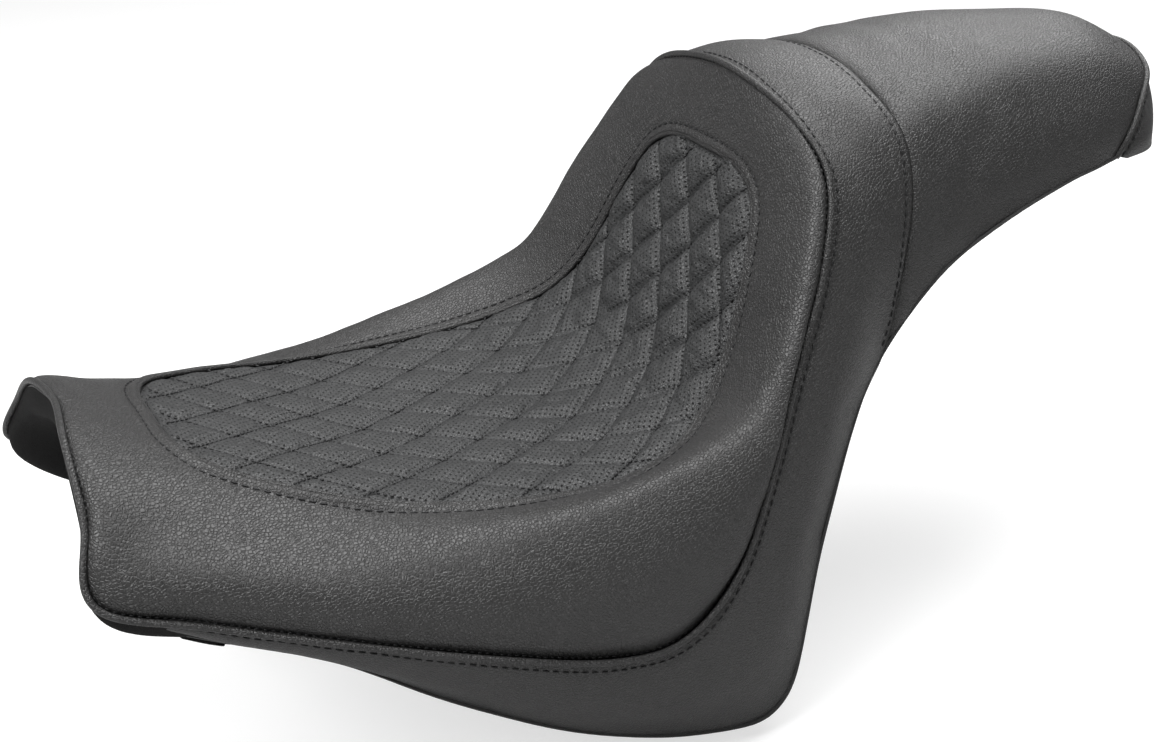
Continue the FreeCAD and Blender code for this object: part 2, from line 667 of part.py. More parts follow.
def make_staples():
    """Staples inside the pan's walls, just above the lower edge, holding the covers."""
    ribs = [vectors(rib) for rib in PAN_RIBS]
    staples = []
    long, wide, thick = size("staple_long"), size("staple_wide"), size("staple_thick")
    for rib, following in zip(ribs[1:13], ribs[2:14]):
        for share in STAPLE_SHARES:
            lower = blend_point(rib[0], following[0], share)
            upper = blend_point(rib[1], following[1], share)
            along = following[0] - rib[0]
            along.normalize()
            rise = upper - lower
            rise.normalize()
            inward = along.cross(rise)
            inward.normalize()
            if inward.x > 0:
                inward = inward * -1
            centre = lower + rise * size("staple_rise") + inward * (size("pan_thick") + 0.5)
            box = Part.makeBox(long, wide, thick, Vector(-long / 2, -wide / 2, 0))
            box.Placement = Placement(centre, Rotation(along, inward.cross(along), inward, "XYZ"))
            staples.append(box)
            staples.append(box.mirror(Vector(0, 0, 0), Vector(1, 0, 0)))
    add_shape("cover_staples", Part.makeCompound(staples))


make_rider_cover()
make_side_band()
make_nose_fascia()
make_pillion_cover()
make_tail_cap()
make_welts()
make_quilted_inlay()
make_edge_trims()
make_padding()
make_rider_foam()
make_pillion_foam()
pan_solid = make_pan()
make_liner()
tongue_top = min(under_side(pan_solid, x, y) for x in (-20, 0, 20) for y in (-110, -82, -55))
tab_under = min(under_side(pan_solid, x, y) for x in (-19, 0, 19) for y in (330, 346, 366))
make_front_tongue(tongue_top)
make_rear_tab(tab_under)
make_rivets(tongue_top, tab_under, pan_solid)
make_bumpers(pan_solid)
make_staples()
doc.recompute()

# ---------------------------------------------------------------- checks and export
NODES = [
    "rider_cover", "side_band", "nose_fascia", "pillion_cover", "tail_cap", "main_piping",
    "inlay_welt", "tail_piping", "quilted_inlay", "left_edge_trim", "right_edge_trim",
    "gel_insert", "backrest_pad", "rider_foam", "pillion_foam", "seat_pan", "underside_liner",
    "front_tongue", "rear_mount_tab", "tongue_rivets", "rear_tab_rivets", "rubber_bumpers",
    "bumper_screws", "cover_staples"]
for obj in doc.Objects:
    if "Invalid" in obj.State or "Error" in obj.State:
        raise RuntimeError("%s failed: %s" % (obj.Label, obj.State))
os.makedirs("parts", exist_ok=True)
for node in NODES:
    part = [obj for obj in doc.Objects if obj.Label == node][0]
    shape = part.Shape
    if shape.isNull() or not shape.isValid() or not shape.Solids:
        raise RuntimeError("%s has no valid solid" % node)
    shape.exportStep("parts/%s.step" % node)
    print("%-18s solids %2d volume %9.0f mm3" % (node, len(shape.Solids), shape.Volume))
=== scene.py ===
import bmesh
import bpy
import math
import numpy as np
from bpy.props import FloatProperty, FloatVectorProperty, PointerProperty
from mathutils import Matrix, Vector, noise


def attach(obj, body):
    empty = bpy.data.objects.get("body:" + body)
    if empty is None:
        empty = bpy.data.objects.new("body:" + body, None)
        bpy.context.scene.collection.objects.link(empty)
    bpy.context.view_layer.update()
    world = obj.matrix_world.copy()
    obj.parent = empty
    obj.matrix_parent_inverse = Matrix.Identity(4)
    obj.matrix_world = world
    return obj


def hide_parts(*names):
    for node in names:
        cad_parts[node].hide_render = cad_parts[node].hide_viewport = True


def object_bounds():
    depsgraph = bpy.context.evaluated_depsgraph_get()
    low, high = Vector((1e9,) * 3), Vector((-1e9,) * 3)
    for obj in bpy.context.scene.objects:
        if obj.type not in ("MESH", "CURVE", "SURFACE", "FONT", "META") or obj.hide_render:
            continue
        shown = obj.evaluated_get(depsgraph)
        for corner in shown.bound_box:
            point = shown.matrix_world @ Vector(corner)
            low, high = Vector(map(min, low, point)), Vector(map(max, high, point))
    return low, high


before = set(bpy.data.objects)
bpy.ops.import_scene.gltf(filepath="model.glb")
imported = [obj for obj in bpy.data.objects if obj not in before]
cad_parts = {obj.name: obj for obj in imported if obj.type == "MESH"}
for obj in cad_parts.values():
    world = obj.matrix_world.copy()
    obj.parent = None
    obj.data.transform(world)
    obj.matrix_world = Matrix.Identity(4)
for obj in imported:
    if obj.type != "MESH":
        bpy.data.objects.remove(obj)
CAD_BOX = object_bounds()

bl_info = {
    "name": "Motorcycle Seat Upholstery",
    "version": (1, 0, 0),
    "blender": (4, 5, 0),
    "location": "View3D > Sidebar > Seat",
    "description": "Sews the covers, quilting, welts and stitching of a stepped two-up seat",
    "category": "Object",
}

# ------------------------------------------------------------------ pattern pieces, in mm
# The left half of each ring round the rider's seat, from the middle of the nose to the middle
# of the step's top. X is the rider's left and Y the tail.
INLAY_EDGE = [
    (0, -287, 31), (36, -286, 31), (62, -274, 26), (78, -254, 19), (95, -222, 10),
    (110, -180, -1), (122, -125, -9), (129, -72, -12), (130, -30, -10), (122, 8, 0),
    (108, 34, 17), (96, 56, 47), (84, 74, 90), (68, 88, 126), (45, 93, 140),
    (20, 94, 143), (0, 94, 143)]
CREST = [
    (0, -312, 42), (41, -314, 40), (74, -308, 28), (96, -294, 12), (118, -256, -2),
    (135, -196, -9), (151, -130, -10), (163, -71, -4), (166, -26, 5), (164, 13, 18),
    (157, 38, 33), (143, 58, 66), (125, 77, 106), (100, 92, 143), (66, 97, 167),
    (32, 99, 173), (0, 99, 174)]
FLANK = [
    (0, -330, 51), (44, -334, 48), (86, -336, 28), (111, -334, 0), (134, -284, -14),
    (157, -216, -26), (174, -140, -38), (183, -75, -44), (186, -24, -38), (183, 16, -14),
    (174, 42, 18), (160, 63, 66), (141, 85, 117), (118, 100, 156), (86, 103, 177),
    (44, 102, 190), (0, 101, 193)]
PIPING_LINE = [
    (0, -341, 54), (44, -346, 49), (88, -348, 19), (114, -354, -20), (132, -298, -38),
    (160, -226, -55), (180, -143, -78), (186, -72, -98), (185, -22, -98), (182, 17, -62),
    (174, 43, 0), (160, 66, 55), (144, 91, 106), (119, 109, 154), (86, 107, 180),
    (46, 104, 193), (0, 102, 199)]
BAND_EDGE = [
    (0, -333, 41), (43, -337, 36), (82, -340, 9), (109, -347, -32), (112, -290, -60),
    (125, -222, -88), (141, -155, -128), (157, -75, -166), (166, 10, -188), (167, 65, -178),
    (160, 90, -80), (145, 121, 0), (124, 157, 34), (123, 169, 90), (117, 175, 142),
    (90, 174, 181), (0, 176, 200)]
BAND_BULGE = [0, 0, 0, 1, 3, 5, 7, 8, 8, 8, 8, 8, 8, 7, 5, 4, 3]
NOSE_CORNER = 3
# The lining that runs back under the nose's arch, from behind its corner to the centre line.
NOSE_LINING = [
    [(112, -290, -60), (108, -349, -36), (80, -348, 4), (43, -345, 26), (0, -341, 34)],
    [(105, -282, -66), (97, -322, -52), (80, -318, -18), (43, -316, 12), (0, -314, 17)],
    [(104, -262, -76), (101, -288, -68), (88, -286, -41), (46, -284, -11), (0, -282, -5)]]
PILLION_RIBS = [
    [(124, 157, 34), (123, 169, 90), (117, 175, 142), (90, 174, 181), (0, 176, 200)],
    [(116, 205, 76), (116, 212, 112), (106, 220, 154), (78, 226, 188), (0, 228, 203)],
    [(110, 258, 100), (109, 264, 130), (97, 270, 166), (70, 276, 194), (0, 280, 205)],
    [(102, 314, 115), (100, 322, 139), (88, 330, 168), (62, 336, 192), (0, 342, 204)],
    [(97, 342, 119), (94, 354, 141), (82, 366, 165), (56, 380, 185), (0, 392, 198)],
    [(90, 366, 121), (86, 382, 139), (74, 398, 154), (48, 424, 167), (0, 440, 174)]]
TAIL_RIBS = [
    PILLION_RIBS[-1],
    [(88, 374, 119), (86, 395, 128), (70, 415, 137), (42, 436, 146), (0, 449, 150)],
    [(86, 380, 117), (80, 406, 118), (64, 422, 120), (38, 440, 121), (0, 448, 121)]]
DISH_LINE = [(-287, 31), (-269, 23), (-214, 7), (-155, -9), (-91, -14), (-24, -13),
             (32, 13), (62, 59), (83, 107), (94, 143)]
# Where the quilting lines cross on the centre line, as places along the seat.
CROSSINGS = [-269, -214, -155, -91, -24, 32, 62, 83]
BOLT_FROM_DATUM = np.array([0.0, 405.0, 121.0])
MM = 0.001

# ------------------------------------------------------------------ sewing, in metres
EASING = 0.007            # how far small kinks in a line are smoothed out
WELT_STEP = 0.003         # between the points that a welt follows
STRIP_INSET = 0.0008      # keeps the nose's strip behind its welt
QUILT_WALL = 0.003        # thickness of the quilted sandwich
EDGE_SINK, EDGE_REACH = 0.0042, 0.0040      # the quilting drops into its surrounding fold
EDGE_FADE = 0.006         # the diamonds flatten this near the fold
FLAT_SHARE, FULL_SHARE = 0.58, 0.55         # puff in the dish, and what the backrest adds
FULL_START, FULL_RUN = 0.12, 0.25           # where along the seat the puff grows
INLAY_SEAM, BAND_SEAM, STEP_SEAM, TAIL_SEAM = 0.0072, 0.0075, 0.007, 0.0065
PIPING_SEAM = 0.0024      # topstitches lie this far from each seam
GROOVE = 0.0016           # half width of the groove that a topstitch pulls
STEP_HIGH = -0.085        # the rear topstitch stops where the skirts begin
THREAD_RISE = 0.0009      # the quilting's thread stands this far out of its valley
STITCH_BATCH = 24         # small batches keep the making of stitches quick

# ------------------------------------------------------------------ settling as cloth
SIM_FRAMES = 20
FABRIC = {"quality": 5, "mass": 0.3, "tension_stiffness": 25.0, "compression_stiffness": 25.0,
          "shear_stiffness": 12.0, "bending_stiffness": 0.4, "use_pressure": True,
          "uniform_pressure_force": 3.0, "shrink_min": -0.03, "shrink_max": -0.03}
MOVE_CAP = 0.0016
SEAM_PUFF, SEAM_EDGE = 0.16, 0.004          # lower or nearer points are held by a seam


# ------------------------------------------------------------------ sizes and colours
class SeatSizes(bpy.types.PropertyGroup):
    quilt_wide: FloatProperty(name="Diamond width", unit="LENGTH", default=0.0385,
                              description="Quilting pitch across the seat")
    quilt_puff: FloatProperty(name="Puff", unit="LENGTH", default=0.0056,
                              description="Height of each quilted diamond")
    inlay_step: FloatProperty(name="Quilting mesh", unit="LENGTH", default=0.0016,
                              description="Mesh step across the quilting")
    cover_step: FloatProperty(name="Cover mesh", unit="LENGTH", default=0.0035,
                              description="Mesh step on the plain covers")
    cover_thick: FloatProperty(name="Cover", unit="LENGTH", default=0.0016,
                               description="Thickness of the vinyl")
    welt_radius: FloatProperty(name="Piping", unit="LENGTH", default=0.0021,
                               description="Radius of the rolled welt")
    inlay_welt_radius: FloatProperty(name="Inlay fold", unit="LENGTH", default=0.0019,
                                     description="Radius of the fold round the quilting")
    stitch_pitch: FloatProperty(name="Stitch pitch", unit="LENGTH", default=0.0065,
                                description="Distance between topstitches")
    stitch_radius: FloatProperty(name="Thread", unit="LENGTH", default=0.00068,
                                 description="Radius of the topstitch thread")
    quilt_pitch: FloatProperty(name="Quilt stitch pitch", unit="LENGTH", default=0.0042,
                               description="Distance between the stitches of the quilting")


class SeatColours(bpy.types.PropertyGroup):
    vinyl: FloatVectorProperty(name="Vinyl", description="Colour of the plain covers",
                               subtype="COLOR", size=3, default=(0.026, 0.0255, 0.0255))
    quilting: FloatVectorProperty(name="Quilting", description="Colour of the quilted vinyl",
                                  subtype="COLOR", size=3, default=(0.028, 0.0285, 0.029))
    thread: FloatVectorProperty(name="Thread", description="Colour of the sewing thread",
                                subtype="COLOR", size=3, default=(0.004, 0.004, 0.0045))
    floor: FloatVectorProperty(name="Floor", description="Colour of the studio floor",
                               subtype="COLOR", size=3, default=(0.5, 0.5, 0.5))


# ------------------------------------------------------------------ lines and surfaces
def placed(points):
    """Pattern points in mm, as metres from the rear bolt's hole."""
    return (np.array(points, float) - BOLT_FROM_DATUM) * MM


def mirrored(points):
    """The same points on the other side of the seat."""
    return points * np.array([-1.0, 1.0, 1.0])


def whole_ring(half):
    """A closed ring without its repeated point, from the half that is listed."""
    left = placed(half)
    return np.concatenate([left, mirrored(left[-2:0:-1])])


def joined(left):
    """A line over the seat, from the points of its left half, which end on the middle."""
    return np.concatenate([left, mirrored(left[-2::-1])])


def on_curve(points, places, closed=False):
    """Places along a smooth curve through the points, counted in spans from the first one."""
    points = np.asarray(points, float)
    count = len(points)
    if closed:
        span = np.floor(places).astype(int)
        a, b, c, d = (points[(span + k) % count] for k in (-1, 0, 1, 2))
    else:
        ends = np.concatenate([[2 * points[0] - points[1]], points,
                               [2 * points[-1] - points[-2]]])
        span = np.clip(np.floor(places).astype(int), 0, count - 2)
        a, b, c, d = (ends[span + k] for k in (0, 1, 2, 3))
    t = (places - span).reshape((-1,) + (1,) * (points.ndim - 1))
    return 0.5 * (2 * b + (c - a) * t + (2 * a - 5 * b + 4 * c - d) * t ** 2
                  + (3 * b - a - 3 * c + d) * t ** 3)


def lengths(points):
    """Distance along a line of points, from the first one."""
    steps = np.linalg.norm(np.diff(points, axis=0), axis=-1)
    return np.concatenate([np.zeros((1,) + steps.shape[1:]), np.cumsum(steps, axis=0)])


def even_places(points, step, closed=False):
    """Places along a curve that are a step apart."""
    spans = len(points) if closed else len(points) - 1
    fine = np.linspace(0, spans, spans * 24 + 1)
    run = lengths(on_curve(points, fine, closed))
    count = max(int(round(run[-1] / step)), 2)
    return np.interp(np.linspace(0, run[-1], count + 1), run, fine)


def eased(lines, step, closed=False):
    """Lines of evenly spaced points with their small kinks smoothed out."""
    reach = 3 * EASING / step
    offsets = np.arange(-int(reach), int(reach) + 1)
    weights = np.exp(-0.5 * (offsets * step / EASING) ** 2)
    weights /= weights.sum()
    lines = np.asarray(lines, float)
    count = lines.shape[-2]
    result = np.zeros_like(lines)
    for offset, weight in zip(offsets, weights):
        places = np.arange(count) + offset
        if closed:
            result += weight * lines[..., places % (count - 1), :]
        else:
            inner = np.clip(places, 0, count - 1)
            beyond = places - inner
            slope = np.where(beyond[:, None] > 0, lines[..., -1:, :] - lines[..., -2:-1, :],
                             lines[..., 1:2, :] - lines[..., :1, :])
            result += weight * (lines[..., inner, :] + slope * beyond[:, None])
    return result


def patch(rows, step, closed=False, measure=0):
    """A grid of points on the smooth surface through rows of points: [across][along].

    The row numbered measure sets how the points are spread along the surface."""
    along = even_places(rows[measure], step, closed)
    lines = eased([on_curve(row, along, closed) for row in rows], step, closed)
    one_third = lines[:, lines.shape[1] // 3]
    return on_curve(lines, even_places(one_third, step))


def surface_normals(grid, place, axis, sign=1, closed=False):
    """Unit normals of a grid of points, turned so that the one at a place points the way
    that the sign says along an axis."""
    if closed:
        wrapped = np.concatenate([grid[:, -2:-1], grid, grid[:, 1:2]], axis=1)
        along = wrapped[:, 2:] - wrapped[:, :-2]
    else:
        along = np.gradient(grid, axis=1)
    normal = np.cross(along, np.gradient(grid, axis=0))
    normal = normal / np.maximum(np.linalg.norm(normal, axis=2, keepdims=True), 1e-12)
    return -normal if normal[place][axis] * sign < 0 else normal


def dip(distance, width):
    """A bell-shaped groove round a distance of nought."""
    return np.exp(-(distance / width) ** 2)


def sink(distance, reach):
    """Falls away from one at a seam to nought inside the cover."""
    return np.exp(-distance / reach)


def lifted(grid, normals, height):
    """A grid of points moved along its normals."""
    return grid + normals * height[:, :, None]


def sewn_map(grid, inside):
    """UV in metres: along the seam, and in from it."""
    around = lengths(grid[len(grid) // 2])
    return np.stack([np.repeat(around[None], len(grid), 0), inside], axis=2)


def ripples(grid, stretch, seed):
    """Smooth noise between -1 and 1 over a grid of points, in stretched space."""
    offset = Vector((seed, seed * 1.7, seed * 0.3))
    flat = [noise.noise(Vector(p * stretch) + offset) for p in grid.reshape(-1, 3)]
    return np.array(flat).reshape(grid.shape[:2])


def new_object(name, mesh):
    piece = bpy.data.objects.new(name, mesh)
    bpy.context.scene.collection.objects.link(piece)
    return piece


def grid_piece(name, grid, uv, outward, closed=False):
    """A mesh object whose vertices are a grid moved to the given places, facing outward."""
    rows, columns = grid.shape[:2]

    def cell(vert):
        return (int(round((vert.co.y + 1) / 2 * (rows - 1))),
                int(round((vert.co.x + 1) / 2 * (columns - 1))))

    bm = bmesh.new()
    bmesh.ops.create_grid(bm, x_segments=columns - 1, y_segments=rows - 1, size=1.0,
                          calc_uvs=True)
    layer = bm.loops.layers.uv.verify()
    for face in bm.faces:
        for loop in face.loops:
            loop[layer].uv = uv[cell(loop.vert)]
    for vert in bm.verts:
        vert.co = grid[cell(vert)]
    if closed:
        bmesh.ops.remove_doubles(bm, verts=bm.verts[:], dist=1e-6)
    bm.normal_update()
    bm.faces.ensure_lookup_table()
    sample = bm.faces[(rows // 2) * (columns - 1) + columns // 3]
    middle = np.array(sample.calc_center_median())
    nearest = np.argmin(((grid - middle) ** 2).sum(2))
    if sample.normal.dot(Vector(outward.reshape(-1, 3)[nearest])) < 0:
        bmesh.ops.reverse_faces(bm, faces=bm.faces[:])
    for face in bm.faces:
        face.smooth = True
    mesh = bpy.data.meshes.new(name)
    bm.to_mesh(mesh)
    bm.free()
    return new_object(name, mesh)


def thicken(piece, thickness):
    """Gives a cover its wall, inwards from the face that shows."""
    wall = piece.modifiers.new("Thickness", "SOLIDIFY")
    wall.thickness, wall.offset = thickness, -1.0
    return piece


def pin_seams(piece, grid, held):
    """A vertex group of the points that a seam holds, found by their places."""
    order = {tuple(np.round(p, 6)): h for p, h in zip(grid.reshape(-1, 3), held.ravel())}
    pins = piece.vertex_groups.new(name="seams")
    for vert in piece.data.vertices:
        if order.get(tuple(np.round(vert.co, 6)), True):
            pins.add([vert.index], 1.0, "REPLACE")
    return pins


def settle(piece, pins):
    """Lets a cover swell and pucker between its seams as cloth, and keeps the result."""
    scene = bpy.context.scene
    cloth = piece.modifiers.new("Cloth", "CLOTH")
    fabric = cloth.settings
    for name, value in FABRIC.items():
        setattr(fabric, name, value)
    fabric.vertex_group_mass = pins.name
    fabric.effector_weights.gravity = 0.0
    cloth.point_cache.frame_start, cloth.point_cache.frame_end = 1, SIM_FRAMES
    for number in range(1, SIM_FRAMES + 1):
        scene.frame_set(number)
    done = piece.evaluated_get(bpy.context.evaluated_depsgraph_get()).data
    count = len(piece.data.vertices)
    before, after = np.empty(count * 3), np.empty(count * 3)
    piece.data.vertices.foreach_get("co", before)
    done.vertices.foreach_get("co", after)
    move = (after - before).reshape(-1, 3)
    far = np.linalg.norm(move, axis=1, keepdims=True)
    move *= np.minimum(1.0, MOVE_CAP / np.maximum(far, 1e-9))
    piece.modifiers.remove(cloth)
    piece.data.vertices.foreach_set("co", (before.reshape(-1, 3) + move).ravel())
    piece.data.update()
    scene.frame_set(1)


def finish_piece(piece, material, slot, *nodes):
    """Dresses a piece, sets it on the seat's one body and hides the solids it stands for."""
    piece.data.materials.clear()
    piece.data.materials.append(material)
    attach(piece, "root")
    if nodes:
        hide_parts(*nodes)


def tube_piece(name, points, radius, closed):
    """A round welt along a line of points."""
    curve = bpy.data.curves.new(name, "CURVE")
    curve.dimensions = "3D"
    curve.bevel_depth = radius
    curve.bevel_resolution = 3
    curve.use_fill_caps = True
    spline = curve.splines.new("POLY")
    spline.points.add(len(points) - 1)
    spline.points.foreach_set("co", np.c_[points, np.ones(len(points))].ravel())
    spline.use_cyclic_u = closed
    holder = new_object(name + "_line", curve)
    bpy.context.view_layer.update()
    mesh = bpy.data.meshes.new_from_object(holder)
    bpy.data.objects.remove(holder)
    bpy.data.curves.remove(curve)
    mesh.name = name
    mesh.shade_smooth()
    return new_object(name, mesh)


def stitch_places(points, normals, pitch, radius, share):
    """Places, turns and sizes of the stitches laid end to end along a line on a surface."""
    run = lengths(points)
    count = int(run[-1] // pitch)
    start = (run[-1] - count * pitch) / 2
    places = []
    for k in range(count):
        middle = start + (k + 0.5) * pitch
        ends = [np.array([np.interp(middle + side * pitch * share / 2, run, points[:, axis])
                          for axis in range(3)]) for side in (-1, 1)]
        up = np.array([np.interp(middle, run, normals[:, axis]) for axis in range(3)])
        along = Vector(ends[1] - ends[0])
        half = along.length / 2
        if half < 1e-6:
            continue
        along.normalize()
        aside = Vector(up).cross(along).normalized()
        rise = along.cross(aside)
        centre = (Vector(ends[0]) + Vector(ends[1])) / 2 + rise * radius * 0.5
        turn = Matrix((aside, rise, along)).transposed().to_4x4()
        shape = Matrix.Diagonal((radius, radius * 0.9, half, 1.0))
        places.append(Matrix.Translation(centre) @ turn @ shape)
    return places


def stitch_piece(name, rows, pitch, radius, share):
    """One object with every stitch of the given rows, each row being points and normals."""
    places = []
    for points, normals in rows:
        places += stitch_places(points, normals, pitch, radius, share)
    whole = bmesh.new()
    part = bpy.data.meshes.new(name + "_part")
    for first in range(0, len(places), STITCH_BATCH):
        bm = bmesh.new()
        for place in places[first:first + STITCH_BATCH]:
            bmesh.ops.create_uvsphere(bm, u_segments=6, v_segments=4, radius=1.0, matrix=place)
        bm.to_mesh(part)
        bm.free()
        whole.from_mesh(part)
    bpy.data.meshes.remove(part)
    mesh = bpy.data.meshes.new(name)
    whole.to_mesh(mesh)
    whole.free()
    mesh.shade_smooth()
    return new_object(name, mesh)


def row_at(grid, normals, distance, target):
    """The line on a grid where its distance from an edge has the target value."""
    points, ups = [], []
    for column in range(grid.shape[1]):
        order = np.argsort(distance[:, column])
        run = distance[order, column]
        points.append([np.interp(target, run, grid[order, column, axis]) for axis in range(3)])
        ups.append([np.interp(target, run, normals[order, column, axis]) for axis in range(3)])
    return np.array(points), np.array(ups)


def topstitch(context, name, rows, pitch=1.0, radius=1.0, share=0.7):
    """Sews along rows of points and normals, in shares of the usual pitch and thread."""
    sizes = context.scene.seat_sizes
    threads = stitch_piece(name, rows, sizes.stitch_pitch * pitch,
                           sizes.stitch_radius * radius, share)
    finish_piece(threads, thread_material(context), "vinyl_cover")


# ------------------------------------------------------------------ the quilted area
def inlay_lines(step):
    """The quilted area's edge and middle, at even steps along the middle."""
    edge = placed(INLAY_EDGE[1:-1])
    middle = (np.array(DISH_LINE, float) - BOLT_FROM_DATUM[1:]) * MM
    fine_edge = on_curve(edge, np.linspace(0, len(edge) - 1, 1200))
    fine_middle = on_curve(middle, np.linspace(0, len(middle) - 1, 1200))
    low = np.interp(fine_edge[:, 1], *fine_middle.T)
    run = lengths(np.c_[fine_edge[:, 1], low])
    keep = np.concatenate([[True], np.diff(run) > 1e-9])
    run, fine_edge, low = run[keep], fine_edge[keep], low[keep]
    even = np.linspace(0, run[-1], int(run[-1] / step) + 1)
    wide, back, high = (np.interp(even, run, fine_edge[:, axis]) for axis in range(3))
    return even, wide, back, high, np.interp(even, run, low)


def quilt_phase(run, back):
    """Counts quilting crossings along the middle of the seat."""
    marks = np.interp((np.array(CROSSINGS) - BOLT_FROM_DATUM[1]) * MM, back, run)
    marks = np.concatenate([[2 * marks[0] - marks[1]], marks, [2 * marks[-1] - marks[-2]]])
    return np.interp(run, marks, np.arange(len(marks)) - 1.0)


def quilt_shape(lines, share, sizes):
    """Points, distance from the edge and height of the puffs over the quilted area."""
    run, wide, back, high, low = lines
    phase = quilt_phase(run, back)
    x = wide[:, None] * share[None, :]
    z = low[:, None] + (high - low)[:, None] * share[None, :] ** 2
    grid = np.stack([x, np.repeat(back[:, None], len(share), 1), z], axis=2)
    line = [np.c_[wide, run], np.c_[-wide, run]]
    for end in (0, -1):
        width = np.linspace(-wide[end], wide[end], 40)
        line.append(np.c_[width, np.full_like(width, run[end])])
    line = np.concatenate(line)
    to_edge = np.array([np.sqrt(((np.c_[xs, np.full(len(xs), r)][:, None] - line[None]) ** 2)
                                .sum(2).min(1)) for xs, r in zip(x, run)])
    puff = 1.0
    for sign in (1, -1):
        count = phase[:, None] + sign * x / sizes.quilt_wide
        from_seam = np.abs(count - np.round(count)) * 2
        puff = puff * (1 - (1 - from_seam) ** 3.2) ** 0.7
    rounded = 1 - sink(to_edge, EDGE_FADE)
    fuller = FLAT_SHARE + FULL_SHARE * np.clip((run - FULL_START) / FULL_RUN, 0, 1)
    return grid, to_edge, puff ** 0.8 * rounded * fuller[:, None]


class SEAT_OT_quilting(bpy.types.Operator):
    """Makes the quilted, perforated area of the rider's seat"""
    bl_idname = "seat.quilting"
    bl_label = "Quilted Area"

    def execute(self, context):
        sizes = context.scene.seat_sizes
        lines = inlay_lines(sizes.inlay_step)
        columns = int(2 * max(lines[1]) / sizes.inlay_step)
        across = np.linspace(1, -1, columns)
        grid, to_edge, puff = quilt_shape(lines, across, sizes)
        normals = surface_normals(grid, (len(grid) // 3, columns // 2), 2)
        height = sizes.quilt_puff * puff - EDGE_SINK * sink(to_edge, EDGE_REACH)
        height += 0.0005 * ripples(grid, 60.0, 3.0) * puff
        raised = lifted(grid, normals, height)
        uv = np.stack([grid[:, :, 0], np.repeat(lines[0][:, None], columns, 1)], axis=2)
        piece = grid_piece("quilted_top", raised, uv, normals)
        settle(piece, pin_seams(piece, raised, (puff < SEAM_PUFF) | (to_edge < SEAM_EDGE)))
        thicken(piece, QUILT_WALL)
        finish_piece(piece, quilting_material(context), "perforated_vinyl",
                     "quilted_inlay", "gel_insert", "backrest_pad")
        self.sew(context, lines)
        return {"FINISHED"}

    def sew(self, context, lines):
        """Lays the quilting's stitches along its crossing lines."""
        sizes = context.scene.seat_sizes
        run, wide, back, high, low = lines
        phase = quilt_phase(run, back)
        rows = []
        for sign in (1, -1):
            for count in range(-6, 16):
                x = np.linspace(-0.14, 0.14, 281) * sign
                place = np.interp(count - sign * x / sizes.quilt_wide, phase, run,
                                  left=np.nan, right=np.nan)
                half = np.interp(place, run, wide)
                ok = ~np.isnan(place) & (np.abs(x) < half - 0.003)
                ok &= (place > run[0] + 0.004) & (place < run[-1] - 0.004)
                if ok.sum() < 8:
                    continue
                x, place, half = x[ok], place[ok], half[ok]
                base = np.interp(place, run, low)
                rise = np.interp(place, run, high) - base
                points = np.c_[x, np.interp(place, run, back), base + rise * (x / half) ** 2]
                slope = np.gradient(np.interp(place, run, low), np.interp(place, run, back))
                ups = np.c_[-2 * rise * x / half ** 2, -slope, np.ones(len(x))]
                ups /= np.linalg.norm(ups, axis=1)[:, None]
                rows.append((points + ups * THREAD_RISE, ups))
        piece = stitch_piece("quilting_thread", rows, sizes.quilt_pitch,
                             sizes.stitch_radius * 1.15, 0.66)
        finish_piece(piece, thread_material(context), "perforated_vinyl")


# ------------------------------------------------------------------ plain covers
def rider_patch(sizes):
    """The cover between the quilting and the main piping."""
    rings = [whole_ring(half) for half in (INLAY_EDGE, CREST, FLANK, PIPING_LINE)]
    grid = patch(rings, sizes.cover_step, closed=True, measure=2)
    normals = surface_normals(grid, (len(grid) // 2, 0), 2, closed=True)
    inside = lengths(grid)
    return grid, normals, inside, inside[-1][None] - inside


class SEAT_OT_rider_cover(bpy.types.Operator):
    """Makes the plain bolstered cover round the quilting"""
    bl_idname = "seat.rider_cover"
    bl_label = "Rider's Cover"

    def execute(self, context):
        sizes = context.scene.seat_sizes
        grid, normals, inside, outside = rider_patch(sizes)
        height = 0.0021 * dip(inside - 0.0022, 0.0026) - 0.0034 * sink(outside, 0.0028)
        height -= 0.0009 * dip(inside - INLAY_SEAM, GROOVE)
        width = inside + outside
        height += 0.0016 * np.sin(np.pi * np.clip(inside / width, 0, 1))
        soft = 1 - sink(inside, 0.02) * 0.7
        height += 0.0009 * ripples(grid, 22.0, 5.0) * soft
        height += 0.0005 * ripples(grid, 55.0, 9.0) * soft
        raised = lifted(grid, normals, height)
        piece = grid_piece("rider_cushion_cover", raised, sewn_map(grid, inside), normals,
                           closed=True)
        finish_piece(thicken(piece, sizes.cover_thick), vinyl_material(context), "vinyl_cover",
                     "rider_cover", "rider_foam")
        topstitch(context, "inlay_topstitch", [row_at(raised, normals, inside, INLAY_SEAM)])
        topstitch(context, "piping_stitches", [row_at(raised, normals, outside, PIPING_SEAM)],
                  0.7, 0.8, 0.6)
        return {"FINISHED"}


def band_rows():
    """The band's seam with the piping, its bulged middle and its lower or rear edge."""
    piping, edge = placed(PIPING_LINE), placed(BAND_EDGE)
    last = len(piping) - 1
    middle = []
    for k in range(NOSE_CORNER, last + 1):
        before, after = max(k - 1, 0), min(k + 1, last)
        along = piping[after] - piping[before] + edge[after] - edge[before]
        outward = np.cross(edge[k] - piping[k], along)
        if k == last:
            outward[0] = 0
        outward /= np.linalg.norm(outward)
        middle.append((piping[k] + edge[k]) / 2 + outward * BAND_BULGE[k] * MM)
    return [joined(half) for half in (piping[NOSE_CORNER:], np.array(middle),
                                      edge[NOSE_CORNER:])]


